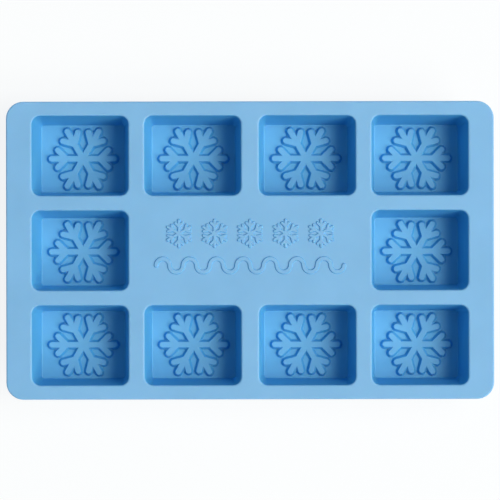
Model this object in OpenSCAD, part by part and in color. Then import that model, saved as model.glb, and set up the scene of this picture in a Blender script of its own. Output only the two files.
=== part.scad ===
// Soft silicone ice cube tray, moulded in one piece: ten tapered wells round a centre panel.
// Each well has a raised snowflake on its floor, which leaves its mark in the cube.
// The tray stands on the undersides of its ten cups, which hang from a thin deck.
// Millimetres, +Z up, +X along the tray, origin under its middle on the surface it stands on.

/* [Wells] */
// Length of a well at its mouth, along the tray
well_l = 39.6; // [34:0.2:46]
// Width of a well at its mouth, across the tray
well_w = 32.8; // [30:0.2:40]
// Depth of a well, from the deck's top to the well's floor
well_depth = 20; // [15:0.5:30]
// How far each wall of a well leans in between mouth and floor
well_lean = 2.25; // [1:0.05:2.4]
// Radius of a well's upright corners at its mouth
well_corner_r = 3.5; // [3.3:0.1:6]
// Rounding of the mouth's edge, where the deck turns down into the well
mouth_r = 0.8; // [0.3:0.1:1.2]
// Rounding between a well's walls and its floor
floor_r = 0.5; // [0.3:0.05:0.7]

/* [Cups] */
// Thickness of a cup's walls
wall_t = 1.8; // [1.2:0.1:2]
// Thickness of a cup's floor
floor_t = 2; // [1.2:0.1:4]
// Rounding of a cup's outer edge at its foot
foot_r = 1.2; // [0.4:0.1:2]

/* [Layout] */
// Gap between the two middle columns of wells, at the mouths
middle_gap = 7.4; // [6:0.1:12]
// Gap between a middle column and an end column, at the mouths
column_gap = 6.6; // [6:0.1:12]
// Gap between one row of wells and the next, at the mouths
row_gap = 6.1; // [5.6:0.1:12]
// Deck beyond the wells at each end of the tray
end_margin = 10.5; // [6:0.1:20]
// Deck beyond the wells along each long side of the tray
side_margin = 5.8; // [4:0.1:15]

/* [Deck] */
// Thickness of the deck
deck_t = 2; // [1.4:0.1:3]
// Radius of the deck's four corners, seen from above
deck_corner_r = 7; // [3:0.5:12]
// Rounding of the deck's outer edge, above and below
deck_edge_r = 0.6; // [0.3:0.05:0.65]

/* [Snowflakes in the wells] */
// Height of a snowflake above a well's floor
flake_h = 2; // [0.5:0.1:3]
// Distance from a snowflake's centre to the tips of its arms
flake_tip_r = 14.85; // [10:0.05:15.3]
// Width of a snowflake's arms and branches
flake_bar_w = 2.95; // [1:0.05:3.2]
// Distance from a snowflake's centre to where its arms branch
flake_fork_r = 7; // [5:0.1:9]
// Length of a branch, from the arm's centre line to its own tip
flake_branch_l = 6.65; // [3:0.05:7.2]
// Angle between a branch and its arm
flake_branch_angle = 45; // [30:1:60]

/* [Ornament on the centre panel] */
// Height of the ornament above the deck
ornament_h = 0.5; // [0.2:0.1:1]
// How many small snowflakes stand in the row
small_flakes = 5; // [1:1:6]
// Distance between the centres of the row's first and last small snowflake
small_row_l = 58.3; // [30:0.1:66]
// Distance from a small snowflake's centre to the tips of its arms
small_tip_r = 5.9; // [3:0.1:6]
// How far the row of small snowflakes lies from the panel's middle
small_row_y = 6.9; // [6:0.1:9]
// How many half waves the ripple has
ripple_halves = 14; // [2:1:14]
// Radius of the ripple's bends, to the middle of its ridge
ripple_r = 2.75; // [1:0.05:3]
// Width of the ripple's ridge
ripple_w = 1.4; // [0.6:0.1:1.9]
// How far the ripple lies from the panel's middle
ripple_y = 6.2; // [5:0.1:9]

/* [Hidden] */
$fn = 64;

// Heights above the surface the tray stands on
tray_h = floor_t + well_depth;
deck_bottom = tray_h - deck_t;
// Top of a cup's own block, halfway up the deck that it is part of
cup_top = tray_h - deck_t / 2;
// How much larger an arc is drawn than its nominal radius, so that it crosses the line that it meets
arc_overlap = 0.0002;

// Angle of the walls from upright
wall_slope = atan(well_lean / well_depth);

// Centres of the wells: four at each long side, and one at each end of the middle row
middle_x = (middle_gap + well_l) / 2;
end_x = middle_x + column_gap + well_l;
row_y = row_gap + well_w;
well_centres = concat(
    [for (x = [-end_x, -middle_x, middle_x, end_x], y = [-row_y, row_y]) [x, y]],
    [for (x = [-end_x, end_x]) [x, 0]]
);

// Size of the deck, which follows the wells
deck_l = 2 * end_x + well_l + 2 * end_margin;
deck_w = 2 * row_y + well_w + 2 * side_margin;

// Distance between the axes of a well's rounded corners
core_l = well_l - 2 * well_corner_r;
core_w = well_w - 2 * well_corner_r;

// Distance between the axes of the deck's corners
deck_core_l = deck_l - 2 * deck_corner_r;
deck_core_w = deck_w - 2 * deck_corner_r;

// Radius of a well's corner at height z. The lean makes it smaller towards the floor.
function corner_r(z) = well_corner_r - (tray_h - z) * tan(wall_slope);

// Direction square to a wall, from a cup's middle outwards
wall_normal = [cos(wall_slope), -sin(wall_slope)];

// Centre of an arc of radius r that touches a level line at height bottom, and the inside of a wall
// that lies reach outside corner_r()
function inner_arc_centre(bottom, r, reach) =
    [corner_r(bottom + r) + reach - r / wall_normal[0], bottom + r];

// The right half of a circle of radius r about c, kept above the line that it touches
module lower_arc(c, r) {
    intersection() {
        translate(c) circle(r + arc_overlap);
        translate([c[0], c[1] - r]) square(2 * r);
    }
}

// Outline of a well's side, from its corner's axis outwards: floor, wall and the flare of the mouth
module well_side() {
    floor_arc = inner_arc_centre(floor_t, floor_r, 0);
    mouth_y = tray_h - mouth_r;
    mouth_arc = [corner_r(mouth_y) + mouth_r / wall_normal[0], mouth_y];
    difference() {
        polygon([
            [0, floor_t],
            [floor_arc[0], floor_t],
            floor_arc + floor_r * wall_normal,
            mouth_arc - mouth_r * wall_normal,
            [mouth_arc[0], tray_h],
            [0, tray_h]
        ]);
        translate(mouth_arc) circle(mouth_r + arc_overlap);
    }
    lower_arc(floor_arc, floor_r);
}

// Outline of a cup's outer side, from its corner's axis outwards, up into the deck
module cup_side() {
    foot_arc = inner_arc_centre(0, foot_r, wall_t);
    polygon([
        [0, 0],
        [foot_arc[0], 0],
        foot_arc + foot_r * wall_normal,
        [corner_r(cup_top) + wall_t, cup_top],
        [0, cup_top]
    ]);
    lower_arc(foot_arc, foot_r);
}

// Outline of the deck's edge, rounded above and below
module deck_side() {
    translate([0, deck_bottom]) {
        square([deck_corner_r - deck_edge_r, deck_t]);
        translate([0, deck_edge_r]) square([deck_corner_r, deck_t - 2 * deck_edge_r]);
        for (y = [deck_edge_r, deck_t - deck_edge_r])
            translate([deck_corner_r - deck_edge_r, y]) circle(deck_edge_r);
    }
}

// Carries the outline given by children() round a rectangle of l by w: turned at its four corners,
// straight along its four sides, and filled between z0 and z1.
module round_block(l, w, z0, z1) {
    translate([-l / 2, -w / 2, z0]) cube([l, w, z1 - z0]);
    for (x_side = [0, 1], y_side = [0, 1])
        mirror([x_side, 0, 0]) mirror([0, y_side, 0])
            translate([l / 2, w / 2, 0]) rotate_extrude(angle = 90) children();
    for (side = [0, 1]) {
        mirror([side, 0, 0])
            translate([l / 2, w / 2, 0]) rotate([90, 0, 0]) linear_extrude(w) children();
        mirror([0, side, 0])
            translate([-l / 2, w / 2, 0]) rotate([90, 0, 90]) linear_extrude(l) children();
    }
}

// The space of one well, down to its floor and round its snowflake
module well() {
    difference() {
        round_block(core_l, core_w, floor_t, tray_h) well_side();
        translate([0, 0, floor_t / 2]) linear_extrude(floor_t / 2 + flake_h) snowflake(flake_tip_r);
    }
}

module cup() {
    round_block(core_l, core_w, 0, cup_top) cup_side();
}

module deck() {
    round_block(deck_core_l, deck_core_w, deck_bottom, tray_h) deck_side();
}

// A bar with round ends, from the centre outwards along +X
module bar(l, w) {
    translate([0, -w / 2]) square([l - w / 2, w]);
    translate([l - w / 2, 0]) circle(w / 2);
}

// Six arms, each with two branches, drawn for a tip radius of tip_r
module snowflake(tip_r) {
    scale = tip_r / flake_tip_r;
    w = flake_bar_w * scale;
    for (arm = [0 : 5])
        rotate(60 * arm) {
            bar(tip_r, w);
            for (side = [-1, 1])
                translate([flake_fork_r * scale, 0])
                    rotate(side * flake_branch_angle) bar(flake_branch_l * scale, w);
        }
}

// Half a ring, bulging towards +Y or -Y
module ripple_bend(up) {
    intersection() {
        difference() {
            circle(ripple_r + ripple_w / 2);
            circle(ripple_r - ripple_w / 2);
        }
        translate([-2 * ripple_r, up ? 0 : -2 * ripple_r]) square([4 * ripple_r, 2 * ripple_r]);
    }
}

// A row of small snowflakes, and below it one long ripple with round ends
module ornament() {
    pitch = small_flakes > 1 ? small_row_l / (small_flakes - 1) : 0;
    for (i = [0 : small_flakes - 1])
        translate([(i - (small_flakes - 1) / 2) * pitch, small_row_y])
            rotate(90) snowflake(small_tip_r);
    for (i = [0 : ripple_halves - 1])
        translate([(2 * i - ripple_halves + 1) * ripple_r, -ripple_y]) ripple_bend(i % 2 == 0);
    for (end = [-1, 1])
        translate([end * ripple_halves * ripple_r, -ripple_y]) circle(ripple_w / 2);
}

module tray() color("cornflowerblue") {
    difference() {
        union() {
            deck();
            for (c = well_centres) translate(c) cup();
            translate([0, 0, cup_top]) linear_extrude(deck_t / 2 + ornament_h) ornament();
        }
        for (c = well_centres) translate(c) well();
    }
}

tray();
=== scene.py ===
"""Looks of a soft silicone ice cube tray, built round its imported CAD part.

The tray is one moulding, so one closed mesh stands for the one CAD solid. It has the same sizes, and
the soft edges of moulded silicone: rounded mouths, floors and feet, and reliefs with rounded tops.
Lengths are in millimetres where no comment says metres. The finished mesh is scaled to metres.
"""
import math
from collections import namedtuple

import bmesh
import bpy
from mathutils import Matrix, Vector


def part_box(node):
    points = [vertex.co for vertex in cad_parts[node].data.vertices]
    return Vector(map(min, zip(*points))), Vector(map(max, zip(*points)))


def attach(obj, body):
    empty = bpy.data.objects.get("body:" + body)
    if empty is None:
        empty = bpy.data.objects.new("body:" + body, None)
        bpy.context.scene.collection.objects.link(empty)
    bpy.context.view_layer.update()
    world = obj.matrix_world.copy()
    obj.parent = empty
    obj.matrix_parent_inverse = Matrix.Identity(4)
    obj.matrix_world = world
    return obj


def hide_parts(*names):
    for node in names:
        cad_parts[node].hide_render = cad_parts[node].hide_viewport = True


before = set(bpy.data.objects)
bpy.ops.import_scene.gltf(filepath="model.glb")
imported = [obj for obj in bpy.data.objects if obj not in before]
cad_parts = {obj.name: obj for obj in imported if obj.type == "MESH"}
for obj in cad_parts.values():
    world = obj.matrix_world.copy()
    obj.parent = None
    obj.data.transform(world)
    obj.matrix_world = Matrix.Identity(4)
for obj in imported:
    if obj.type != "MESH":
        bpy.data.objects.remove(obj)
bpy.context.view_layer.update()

# One millimetre, and the corners of the CAD part's box, in metres
MM = 0.001
box_low, box_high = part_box("tray")

# Wells, as in the CAD part
WELL_L = 39.6
WELL_W = 32.8
WELL_DEPTH = 20.0
WELL_LEAN = 2.25
WELL_CORNER_R = 3.5
MOUTH_R = 0.8
FLOOR_R = 0.5

# Cups, as in the CAD part, and the rounding where they meet the underside of the deck
WALL_T = 1.8
FLOOR_T = 2.0
FOOT_R = 1.2
ROOT_R = 0.8

# Layout and deck, as in the CAD part
MIDDLE_GAP = 7.4
COLUMN_GAP = 6.6
ROW_GAP = 6.1
DECK_T = 2.0
DECK_CORNER_R = 7.0
DECK_EDGE_R = 0.6

# Snowflakes in the wells, at the edges of their tops. Their sides slope outwards to the foot. The CAD
# part's are straight, and lie part of the way down the slope.
FLAKE_ARMS = 6
FLAKE_TIP_R = 14.3
FLAKE_BAR_W = 2.25
FLAKE_FORK_R = 7.0
FLAKE_BRANCH_L = 6.2
FLAKE_BRANCH_ANGLE = 45

# Ornament on the centre panel, also at the edges of its tops: a row of small snowflakes and a ripple
SMALL_FLAKES = 5
SMALL_ROW_L = 58.3
SMALL_TIP_R = 5.8
SMALL_ROW_Y = 6.9
RIPPLE_HALVES = 14
RIPPLE_R = 2.75
RIPPLE_W = 1.4
RIPPLE_Y = 6.2

# Sides of a relief: its height, how far they spread from the edge of the top to the foot, the radii
# of the top edge, the foot and the notches between bars, and how many straight pieces make an arc
Relief = namedtuple("Relief", "height spread top_r foot_r notch_r steps")
WELL_RELIEF = Relief(height=2.0, spread=0.95, top_r=0.25, foot_r=0.1, notch_r=0.1, steps=4)
PANEL_RELIEF = Relief(height=0.5, spread=0.25, top_r=0.15, foot_r=0.1, notch_r=0.05, steps=3)

# How many straight pieces make the other arcs: the corners of wells, cups and deck seen from above,
# their edges seen from the side, and the ripple's bends
CORNER_STEPS = 9
EDGE_STEPS = 6
BEND_STEPS = 12

# Width of the narrow strips beside the arcs, which keep the shading of flat faces flat
STRIP = 0.1
RELIEF_STRIP = 0.04

# Points of an outline that are nearer to each other than this are one point
SAME_PLACE = 0.001

# Heights that follow from the sizes, and how far the walls lean in for each millimetre of depth
TRAY_H = FLOOR_T + WELL_DEPTH
DECK_BOTTOM = TRAY_H - DECK_T
WALL_SLOPE = WELL_LEAN / WELL_DEPTH

# Centres of the wells: four along each long side, and one at each end of the middle row
MIDDLE_X = (MIDDLE_GAP + WELL_L) / 2
END_X = MIDDLE_X + COLUMN_GAP + WELL_L
ROW_Y = ROW_GAP + WELL_W
WELLS = [(x, y) for y in (-ROW_Y, ROW_Y) for x in (-END_X, -MIDDLE_X, MIDDLE_X, END_X)]
WELLS += [(-END_X, 0), (END_X, 0)]

# Distances between the axes of the rounded corners
WELL_CORE = (WELL_L - 2 * WELL_CORNER_R, WELL_W - 2 * WELL_CORNER_R)
DECK_CORE = (
    (box_high.x - box_low.x) / MM - 2 * DECK_CORNER_R,
    (box_high.y - box_low.y) / MM - 2 * DECK_CORNER_R,
)

# Colours of the silicone, each with painted light in it. Steep faces are deepest: painted shade.
# Level faces have a pale painted sheen: a little of it on the wells' floors, more on top of the
# snowflakes, and most up on the deck, which also paints the wells darker than the deck.
STEEP_PAINTED_SHADE_COLOUR = (0.090, 0.398, 0.715)
WELL_FLOOR_PAINTED_SHADE_AND_SHEEN_COLOUR = (0.142, 0.434, 0.700)
FLAKE_PAINTED_SHEEN_COLOUR = (0.168, 0.444, 0.700)
DECK_PAINTED_SHEEN_COLOUR = (0.243, 0.466, 0.703)

# The painted sheen sets in, and the steep faces' painted shade gives way, while the upward part of a
# face's direction goes from the first to the second
STEEP_SHARE = 0.45
LEVEL_SHARE = 0.65

# Clouds: noise scale per metre and detail, how far they darken the colour, and the values of the
# noise where it is darkest and where it is clear
CLOUD_SCALE = 55
CLOUD_DETAIL = 3
CLOUD_SHADE = 0.06
CLOUD_DARK = 0.3
CLOUD_CLEAR = 0.7

# Gloss: refractive index, level of the reflections, and roughness at the noise values 0 and 1
IOR = 1.41
GLOSS_LEVEL = 0.2
SMOOTHEST = 0.40
ROUGHEST = 0.50

# The share of light that soaks into the silicone, how deep in metres, and each colour's part of that
SOAK_SHARE = 0.2
SOAK_DEPTH = 0.002
SOAK_REACH = (0.15, 0.5, 1.0)

# Moulded grain: noise scale per metre and detail, strength, and depth in metres
GRAIN_SCALE = 2200
GRAIN_DETAIL = 2
GRAIN_STRENGTH = 0.25
GRAIN_DEPTH = 0.00004

# Lamps: name, azimuth from +X towards +Y and elevation in degrees, and watts. All are discs of one
# diameter, at one distance from the middle of the deck, both in metres.
LAMPS = [
    ("high_right", -10, 62, 58),
    ("low_right", -10, 34, 33),
    ("front_right", -38, 40, 40),
    ("back_right", 27, 56, 27),
]
LAMP_DIAMETER = 1.5
LAMP_DISTANCE = 3.6

# Tints of the light: warm lamps and a cool world, which together are about white on the open deck
LAMP_COLOUR = (1.0, 0.965, 0.875)
WORLD_COLOUR = (0.22, 0.68, 1.0)
WORLD_STRENGTH = 0.34

# Floor and backdrop: half the floor's width and its height in metres, the grey that lights the tray
# from below, the white that both are shown in, and its share on the floor, which leaves some shadow
STAGE_HALF = 2.0
STAGE_Z = -0.0001
GREY = (0.85, 0.85, 0.85)
WHITE = (1, 1, 1)
WHITE_SHARE = 0.87

# Camera, fitted to where the photograph shows the rims and the floors of the wells: its place from the
# tray's middle, its turn in radians, its lens and sensor, its shift in picture widths, and how far it
# sees in metres
CAMERA_X = -6.23
CAMERA_Y = -24.47
CAMERA_ABOVE_DECK = 885.7
CAMERA_TURN = -0.002
CAMERA_LENS = 155.6
CAMERA_SENSOR = 36
CAMERA_SHIFT = (0.03, 0.12)
CAMERA_RANGE = 10


# Outlines

def arc(centre, radius, start, end, steps):
    """Points on an arc from the angle start to the angle end, in degrees."""
    points = []
    for i in range(steps + 1):
        angle = math.radians(start + (end - start) * i / steps)
        points.append((centre[0] + radius * math.cos(angle), centre[1] + radius * math.sin(angle)))
    return points


def corner_arc(before, corner, after, radius, steps):
    """Points on the arc that rounds a corner, and touches the sides towards before and after."""
    to_before = (before - corner).normalized()
    to_after = (after - corner).normalized()
    half = to_before.angle(to_after) / 2
    centre = corner + (to_before + to_after).normalized() * (radius / math.sin(half))
    start = corner + to_before * (radius / math.tan(half)) - centre
    end = corner + to_after * (radius / math.tan(half)) - centre
    turn = math.atan2(start.cross(end), start.dot(end))
    return [centre + Matrix.Rotation(turn * i / steps, 2) @ start for i in range(steps + 1)]


def soft_profile(path, radii, strip, steps):
    """The corners of a path as arcs, each with a narrow straight strip before and after it.

    The path's first and last points only say where it comes from and goes to.
    """
    points = [Vector(p) for p in path]
    profile = []
    for before, corner, after, radius in zip(points, points[1:], points[2:], radii):
        bend = corner_arc(before, corner, after, radius, steps)
        strip_in = bend[0] + (before - corner).normalized() * strip
        strip_out = bend[-1] + (after - corner).normalized() * strip
        profile += [strip_in] + bend + [strip_out]
    return profile


def wall_radius(z):
    """Radius of a well's corner at height z: the walls lean in towards the floor."""
    return WELL_CORNER_R - (TRAY_H - z) * WALL_SLOPE


def leaning_side(top, bottom, reach, top_r, bottom_r):
    """The profile of a leaning wall between two flats, as points of (corner radius, height).

    reach is how far the wall lies outside a well's own.
    """
    upper = wall_radius(top) + reach
    lower = wall_radius(bottom) + reach
    path = [(upper + top_r, top), (upper, top), (lower, bottom), (lower - bottom_r, bottom)]
    return soft_profile(path, [top_r, bottom_r], STRIP, EDGE_STEPS)


def round_rectangle(centre, core, radius):
    """A rectangle with rounded corners, whose corners' axes are core apart.

    Each corner has one more point before it and one after it, a strip's width along the sides.
    """
    points = []
    for quarter, (side_x, side_y) in enumerate([(1, 1), (-1, 1), (-1, -1), (1, -1)]):
        axis = Vector((centre[0] + side_x * core[0] / 2, centre[1] + side_y * core[1] / 2))
        corner = [Vector(p) for p in arc(axis, radius, 90 * quarter, 90 * quarter + 90, CORNER_STEPS)]
        first_way = (corner[0] - axis).normalized()
        last_way = (corner[-1] - axis).normalized()
        points += [corner[0] - last_way * STRIP] + corner + [corner[-1] - first_way * STRIP]
    return points


def rounded(corners, steps):
    """A closed outline whose corners, given as (point, radius), become arcs.

    Two arcs meet in the middle of a bar's round end, and that point is kept once.
    """
    points = []
    for i, (corner, radius) in enumerate(corners):
        after = corners[(i + 1) % len(corners)][0]
        for point in corner_arc(corners[i - 1][0], corner, after, radius, steps):
            if not points or (point - points[-1]).length > SAME_PLACE:
                points.append(point)
    return points


def snowflake(relief, tip_r, turn, grow):
    """A snowflake with two branches on each arm, turned by turn degrees and grown outwards by grow."""
    scale = tip_r / FLAKE_TIP_R
    half_w = FLAKE_BAR_W * scale / 2 + grow
    arm_angle = 360 / FLAKE_ARMS
    branch_angle = math.radians(FLAKE_BRANCH_ANGLE)
    along = Vector((math.cos(branch_angle), math.sin(branch_angle)))
    across = Vector((-along.y, along.x))
    fork = Vector((FLAKE_FORK_R * scale, 0))
    branch_end = fork + along * (FLAKE_BRANCH_L * scale + grow)

    # The notches lie half_w from the middle lines of both bars that meet there
    arm_notch = Vector((half_w / math.tan(math.radians(arm_angle / 2)), half_w))
    back_notch = fork + along * half_w * (1 - along.x) / along.y + across * half_w
    front_notch = fork + along * half_w * (1 + along.x) / along.y - across * half_w

    upper_half = [
        (back_notch, relief.notch_r),
        (branch_end + across * half_w, half_w),
        (branch_end - across * half_w, half_w),
        (front_notch, relief.notch_r),
        (Vector((tip_r + grow, half_w)), half_w),
    ]
    lower_half = [(Vector((p.x, -p.y)), r) for p, r in reversed(upper_half)]
    corners = []
    for arm in range(FLAKE_ARMS):
        spin = Matrix.Rotation(math.radians(turn - arm_angle * arm), 2)
        corners += [(spin @ p, r) for p, r in [(arm_notch, relief.notch_r)] + upper_half + lower_half]
    return rounded(corners, relief.steps)


def ripple(grow):
    """A ridge that winds through half circles, with round ends, grown outwards by grow."""
    half_w = RIPPLE_W / 2 + grow
    reach = RIPPLE_HALVES * RIPPLE_R
    upper = []
    lower = []
    for i in range(RIPPLE_HALVES):
        bulge = 1 if i % 2 == 0 else -1
        centre = ((2 * i + 1) * RIPPLE_R - reach, 0)
        upper += arc(centre, RIPPLE_R + bulge * half_w, 180, 180 - bulge * 180, BEND_STEPS)[:-1]
        lower += arc(centre, RIPPLE_R - bulge * half_w, 180, 180 - bulge * 180, BEND_STEPS)[:-1]

    # Each end closes on the side that its own bend doesn't bulge to. bulge is the last bend's here.
    right_end = arc((reach, 0), half_w, 90 - 90 * bulge, -90 - 90 * bulge, BEND_STEPS)
    left_end = arc((-reach, 0), half_w, 0, -180, BEND_STEPS)
    return upper + right_end + lower[:0:-1] + left_end[:-1]


# Mesh

def add_loop(bm, points, z):
    """Vertices at height z over the points of an outline."""
    return [bm.verts.new((p[0], p[1], z)) for p in points]


def join_loops(bm, loops):
    """Quads between each loop and the next, which has as many points."""
    for first, second in zip(loops, loops[1:]):
        for i in range(len(first)):
            bm.faces.new((first[i - 1], first[i], second[i], second[i - 1]))


def fill_between(bm, loops):
    """Fills the level region that the loops bound."""
    edges = [bm.edges.get((loop[i - 1], loop[i])) for loop in loops for i in range(len(loop))]
    bmesh.ops.triangle_fill(bm, edges=edges, use_beauty=True, normal=(0, 0, 1))


def add_sides(bm, centre, core, profile):
    """Carries a profile of (corner radius, height) round a rectangle; gives back its end loops."""
    loops = [add_loop(bm, round_rectangle(centre, core, r), z) for r, z in profile]
    join_loops(bm, loops)
    return loops[0], loops[-1]


def add_relief(bm, relief, outline, centre, base):
    """Raises a relief with sloping sides from a flat at height base; gives back the loop at its foot.

    outline(grow) gives its outline, grown outwards by grow from the edge of its top.
    """
    path = [
        (relief.spread + relief.foot_r, 0),
        (relief.spread, 0),
        (0, relief.height),
        (-relief.top_r, relief.height),
    ]
    loops = []
    for grow, z in soft_profile(path, [relief.foot_r, relief.top_r], RELIEF_STRIP, relief.steps):
        points = [(centre[0] + p[0], centre[1] + p[1]) for p in outline(grow)]
        loops.append(add_loop(bm, points, base + z))
    join_loops(bm, loops)
    fill_between(bm, [loops[-1]])
    return loops[0]


def add_well(bm, centre):
    """One well with its snowflake; gives back the loop round its mouth."""
    profile = leaning_side(TRAY_H, FLOOR_T, 0, MOUTH_R, FLOOR_R)
    mouth, floor = add_sides(bm, centre, WELL_CORE, profile)

    def flake(grow):
        return snowflake(WELL_RELIEF, FLAKE_TIP_R, 0, grow)

    foot = add_relief(bm, WELL_RELIEF, flake, centre, FLOOR_T)
    fill_between(bm, [floor, foot])
    return mouth


def add_cup(bm, centre):
    """The outside of one cup; gives back the loop where it meets the underside of the deck."""
    profile = leaning_side(DECK_BOTTOM, 0, WALL_T, ROOT_R, FOOT_R)
    root, foot = add_sides(bm, centre, WELL_CORE, profile)
    fill_between(bm, [foot])
    return root


def add_deck_edge(bm):
    """The rounded outer edge of the deck; gives back the loops above and below it."""
    inner_r = DECK_CORNER_R - DECK_EDGE_R
    path = [
        (inner_r, TRAY_H),
        (DECK_CORNER_R, TRAY_H),
        (DECK_CORNER_R, DECK_BOTTOM),
        (inner_r, DECK_BOTTOM),
    ]
    profile = soft_profile(path, [DECK_EDGE_R, DECK_EDGE_R], STRIP, EDGE_STEPS)
    return add_sides(bm, (0, 0), DECK_CORE, profile)


def add_ornament(bm):
    """A row of small snowflakes over one long ripple; gives back the loops round their feet."""
    def small_flake(grow):
        return snowflake(PANEL_RELIEF, SMALL_TIP_R, 90, grow)

    pitch = SMALL_ROW_L / (SMALL_FLAKES - 1)
    row = [((i - (SMALL_FLAKES - 1) / 2) * pitch, SMALL_ROW_Y) for i in range(SMALL_FLAKES)]
    reliefs = [(small_flake, place) for place in row] + [(ripple, (0, -RIPPLE_Y))]
    return [add_relief(bm, PANEL_RELIEF, outline, place, TRAY_H) for outline, place in reliefs]


def tray_mesh():
    """The whole tray as one closed mesh, in metres."""
    bm = bmesh.new()
    mouths = [add_well(bm, centre) for centre in WELLS]
    roots = [add_cup(bm, centre) for centre in WELLS]
    above, below = add_deck_edge(bm)
    fill_between(bm, [above] + mouths + add_ornament(bm))
    fill_between(bm, [below] + roots)
    bmesh.ops.recalc_face_normals(bm, faces=bm.faces)
    bmesh.ops.scale(bm, vec=(MM, MM, MM), verts=bm.verts)
    mesh = bpy.data.meshes.new("silicone_tray")
    bm.to_mesh(mesh)
    bm.free()
    mesh.shade_smooth()
    return mesh


# Nodes of materials and of the world

def feed(tree, socket, value):
    """Gives an input a fixed value, or links another node's output to it."""
    if isinstance(value, bpy.types.NodeSocket):
        tree.links.new(value, socket)
    elif socket.type == "RGBA":
        socket.default_value = (*value, 1)
    else:
        socket.default_value = value


def add_node(tree, kind, inputs, **settings):
    """A node with its settings, and its inputs by name, or by number where two have one name."""
    node = tree.nodes.new(kind)
    for name, setting in settings.items():
        setattr(node, name, setting)
    for key, value in inputs.items():
        feed(tree, node.inputs[key], value)
    return node


def add_noise(tree, place, scale, detail):
    """Noise in the object's own space, between 0 and 1."""
    inputs = {"Vector": place.outputs["Object"], "Scale": scale, "Detail": detail}
    return add_node(tree, "ShaderNodeTexNoise", inputs).outputs["Fac"]


def add_range(tree, value, source, target, way="LINEAR"):
    """Takes a value from the range source to the range target, which it doesn't leave."""
    inputs = {
        "Value": value,
        "From Min": source[0],
        "From Max": source[1],
        "To Min": target[0],
        "To Max": target[1],
    }
    return add_node(tree, "ShaderNodeMapRange", inputs, interpolation_type=way).outputs["Result"]


def add_blend(tree, value, start, end):
    """A smooth step from 0 to 1 while a value goes from start to end."""
    return add_range(tree, value, (start, end), (0, 1), "SMOOTHSTEP")


def add_mix(tree, share, first, second):
    """A mix of two colours, in which share is the second one's part."""
    mix = add_node(tree, "ShaderNodeMix", {"Factor": share}, data_type="RGBA")
    colour_inputs = [socket for socket in mix.inputs if socket.enabled and socket.name in ("A", "B")]
    for socket, colour in zip(colour_inputs, (first, second)):
        feed(tree, socket, colour)
    return next(socket for socket in mix.outputs if socket.enabled)


def add_shader_mix(tree, share, first, second):
    """A mix of two shaders, in which share is the second one's part."""
    return add_node(tree, "ShaderNodeMixShader", {0: share, 1: first, 2: second}).outputs["Shader"]


def upward(tree, vector):
    """The part of a vector along +Z."""
    return add_node(tree, "ShaderNodeSeparateXYZ", {"Vector": vector}).outputs["Z"]


def seen_directly(tree):
    """1 for what the camera, a reflection or a view through glass shows, and 0 for other light."""
    path = add_node(tree, "ShaderNodeLightPath", {})
    seen = path.outputs["Is Camera Ray"]
    for ray in ("Is Glossy Ray", "Is Transmission Ray"):
        either = add_node(tree, "ShaderNodeMath", {0: seen, 1: path.outputs[ray]}, operation="MAXIMUM")
        seen = either.outputs["Value"]
    return seen


# Materials

def new_material(name):
    """A material with no nodes yet, and its node tree."""
    material = bpy.data.materials.new(name)
    material.use_nodes = True
    material.node_tree.nodes.clear()
    return material, material.node_tree


def painted_sheen_and_shade(tree, place):
    """Painted shade: the deepest colour on steep faces. Painted sheen on level faces, which grows with
    the height, so the wells are painted darker than the deck.
    """
    height = upward(tree, place.outputs["Object"])
    flake_top = (FLOOR_T + WELL_RELIEF.height) * MM
    on_flake = add_blend(tree, height, FLOOR_T * MM, flake_top)
    on_deck = add_blend(tree, height, flake_top, (TRAY_H - MOUTH_R) * MM)
    level = add_blend(tree, upward(tree, place.outputs["Normal"]), STEEP_SHARE, LEVEL_SHARE)
    # Level faces get painted sheen, more the higher they lie; steep faces keep the painted shade
    well_painted_sheen = add_mix(tree, on_flake, WELL_FLOOR_PAINTED_SHADE_AND_SHEEN_COLOUR, FLAKE_PAINTED_SHEEN_COLOUR)
    painted_sheen = add_mix(tree, on_deck, well_painted_sheen, DECK_PAINTED_SHEEN_COLOUR)
    return add_mix(tree, level, STEEP_PAINTED_SHADE_COLOUR, painted_sheen)


def clouded(tree, colour, clouds):
    """A colour that the clouds darken a little."""
    shade = add_range(tree, clouds, (CLOUD_DARK, CLOUD_CLEAR), (1 - CLOUD_SHADE, 1))
    inputs = {"Vector": colour, "Scale": shade}
    return add_node(tree, "ShaderNodeVectorMath", inputs, operation="SCALE").outputs["Vector"]


def grain_normal(tree, place):
    """The fine moulded grain, as a bump."""
    inputs = {
        "Strength": GRAIN_STRENGTH,
        "Distance": GRAIN_DEPTH,
        "Height": add_noise(tree, place, GRAIN_SCALE, GRAIN_DETAIL),
    }
    return add_node(tree, "ShaderNodeBump", inputs).outputs["Normal"]


def silicone():
    """Satin blue silicone: a fine moulded grain, painted sheen on level faces and painted shade on
    steep ones, and slight clouds in its colour and gloss.
    """
    material, tree = new_material("silicone")
    place = add_node(tree, "ShaderNodeTexCoord", {})
    clouds = add_noise(tree, place, CLOUD_SCALE, CLOUD_DETAIL)
    shader = add_node(tree, "ShaderNodeBsdfPrincipled", {
        "Base Color": clouded(tree, painted_sheen_and_shade(tree, place), clouds),
        "Roughness": add_range(tree, clouds, (0, 1), (SMOOTHEST, ROUGHEST)),
        "IOR": IOR,
        "Specular IOR Level": GLOSS_LEVEL,
        "Normal": grain_normal(tree, place),
        "Subsurface Weight": SOAK_SHARE,
        "Subsurface Scale": SOAK_DEPTH,
        "Subsurface Radius": SOAK_REACH,
    })
    add_node(tree, "ShaderNodeOutputMaterial", {"Surface": shader.outputs["BSDF"]})
    return material


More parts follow.
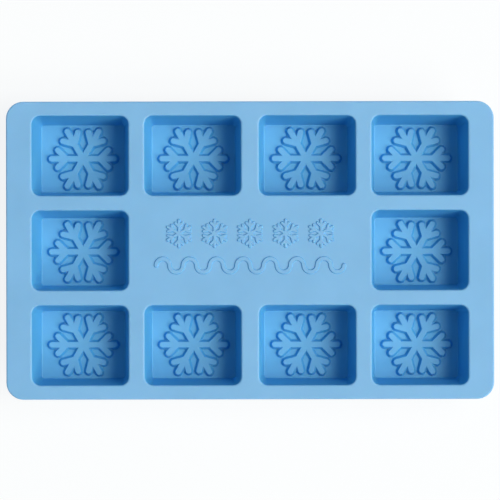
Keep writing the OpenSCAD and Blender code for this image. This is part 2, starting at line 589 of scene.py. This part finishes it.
def white_floor():
    """White to the camera and in reflections, and still with part of the tray's shadow."""
    material, tree = new_material("white_floor")
    matt = add_node(tree, "ShaderNodeBsdfDiffuse", {"Color": GREY})
    glow = add_node(tree, "ShaderNodeEmission", {"Color": WHITE})
    inputs = {0: seen_directly(tree), 1: WHITE_SHARE}
    share = add_node(tree, "ShaderNodeMath", inputs, operation="MULTIPLY")
    mix = add_shader_mix(tree, share.outputs["Value"], matt.outputs["BSDF"], glow.outputs["Emission"])
    add_node(tree, "ShaderNodeOutputMaterial", {"Surface": mix})
    return material


# Scene

def add_object(name, data):
    """An object that shows a mesh, a lamp or a camera."""
    thing = bpy.data.objects.new(name, data)
    bpy.context.scene.collection.objects.link(thing)
    return thing


def add_tray():
    """The tray, which stands for the CAD part's only node."""
    tray = add_object("silicone_tray", tray_mesh())
    tray.data.materials.append(silicone())
    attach(tray, "root")
    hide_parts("tray")


def add_floor():
    """A wide floor just under the tray's cups."""
    bm = bmesh.new()
    bmesh.ops.create_grid(bm, x_segments=1, y_segments=1, size=STAGE_HALF)
    mesh = bpy.data.meshes.new("floor")
    bm.to_mesh(mesh)
    bm.free()
    mesh.materials.append(white_floor())
    floor = add_object("floor", mesh)
    floor.location.z = STAGE_Z


def add_lamps():
    """Soft lamps, all to the right of the tray and turned to the middle of its deck."""
    target = Vector((0, 0, TRAY_H * MM))
    for name, azimuth, elevation, watts in LAMPS:
        data = bpy.data.lights.new(name, "AREA")
        data.shape = "DISK"
        data.size = LAMP_DIAMETER
        data.energy = watts
        data.color = LAMP_COLOUR
        turn = math.radians(azimuth)
        rise = math.radians(elevation)
        way = Vector((math.cos(rise) * math.cos(turn), math.cos(rise) * math.sin(turn), math.sin(rise)))
        lamp = add_object(name, data)
        lamp.location = target + way * LAMP_DISTANCE
        lamp.rotation_euler = way.to_track_quat("Z", "Y").to_euler()


def add_world():
    """Cool light from all round, and a white backdrop where the world itself is seen."""
    world = bpy.data.worlds.new("studio")
    world.use_nodes = True
    tree = world.node_tree
    light = tree.nodes["Background"]
    feed(tree, light.inputs["Color"], WORLD_COLOUR)
    feed(tree, light.inputs["Strength"], WORLD_STRENGTH)
    backdrop = add_node(tree, "ShaderNodeBackground", {"Color": WHITE})
    shown = backdrop.outputs["Background"]
    mix = add_shader_mix(tree, seen_directly(tree), light.outputs["Background"], shown)
    feed(tree, tree.nodes["World Output"].inputs["Surface"], mix)
    bpy.context.scene.world = world


def add_camera():
    """The camera, which looks straight down."""
    data = bpy.data.cameras.new("camera")
    data.sensor_width = CAMERA_SENSOR
    data.lens = CAMERA_LENS
    data.shift_x, data.shift_y = CAMERA_SHIFT
    data.clip_end = CAMERA_RANGE
    camera = add_object("camera", data)
    camera.location = (CAMERA_X * MM, CAMERA_Y * MM, (TRAY_H + CAMERA_ABOVE_DECK) * MM)
    camera.rotation_euler = (0, 0, CAMERA_TURN)
    bpy.context.scene.camera = camera


add_tray()
add_floor()
add_lamps()
add_world()
add_camera()
bpy.context.scene.view_settings.view_transform = "Standard"
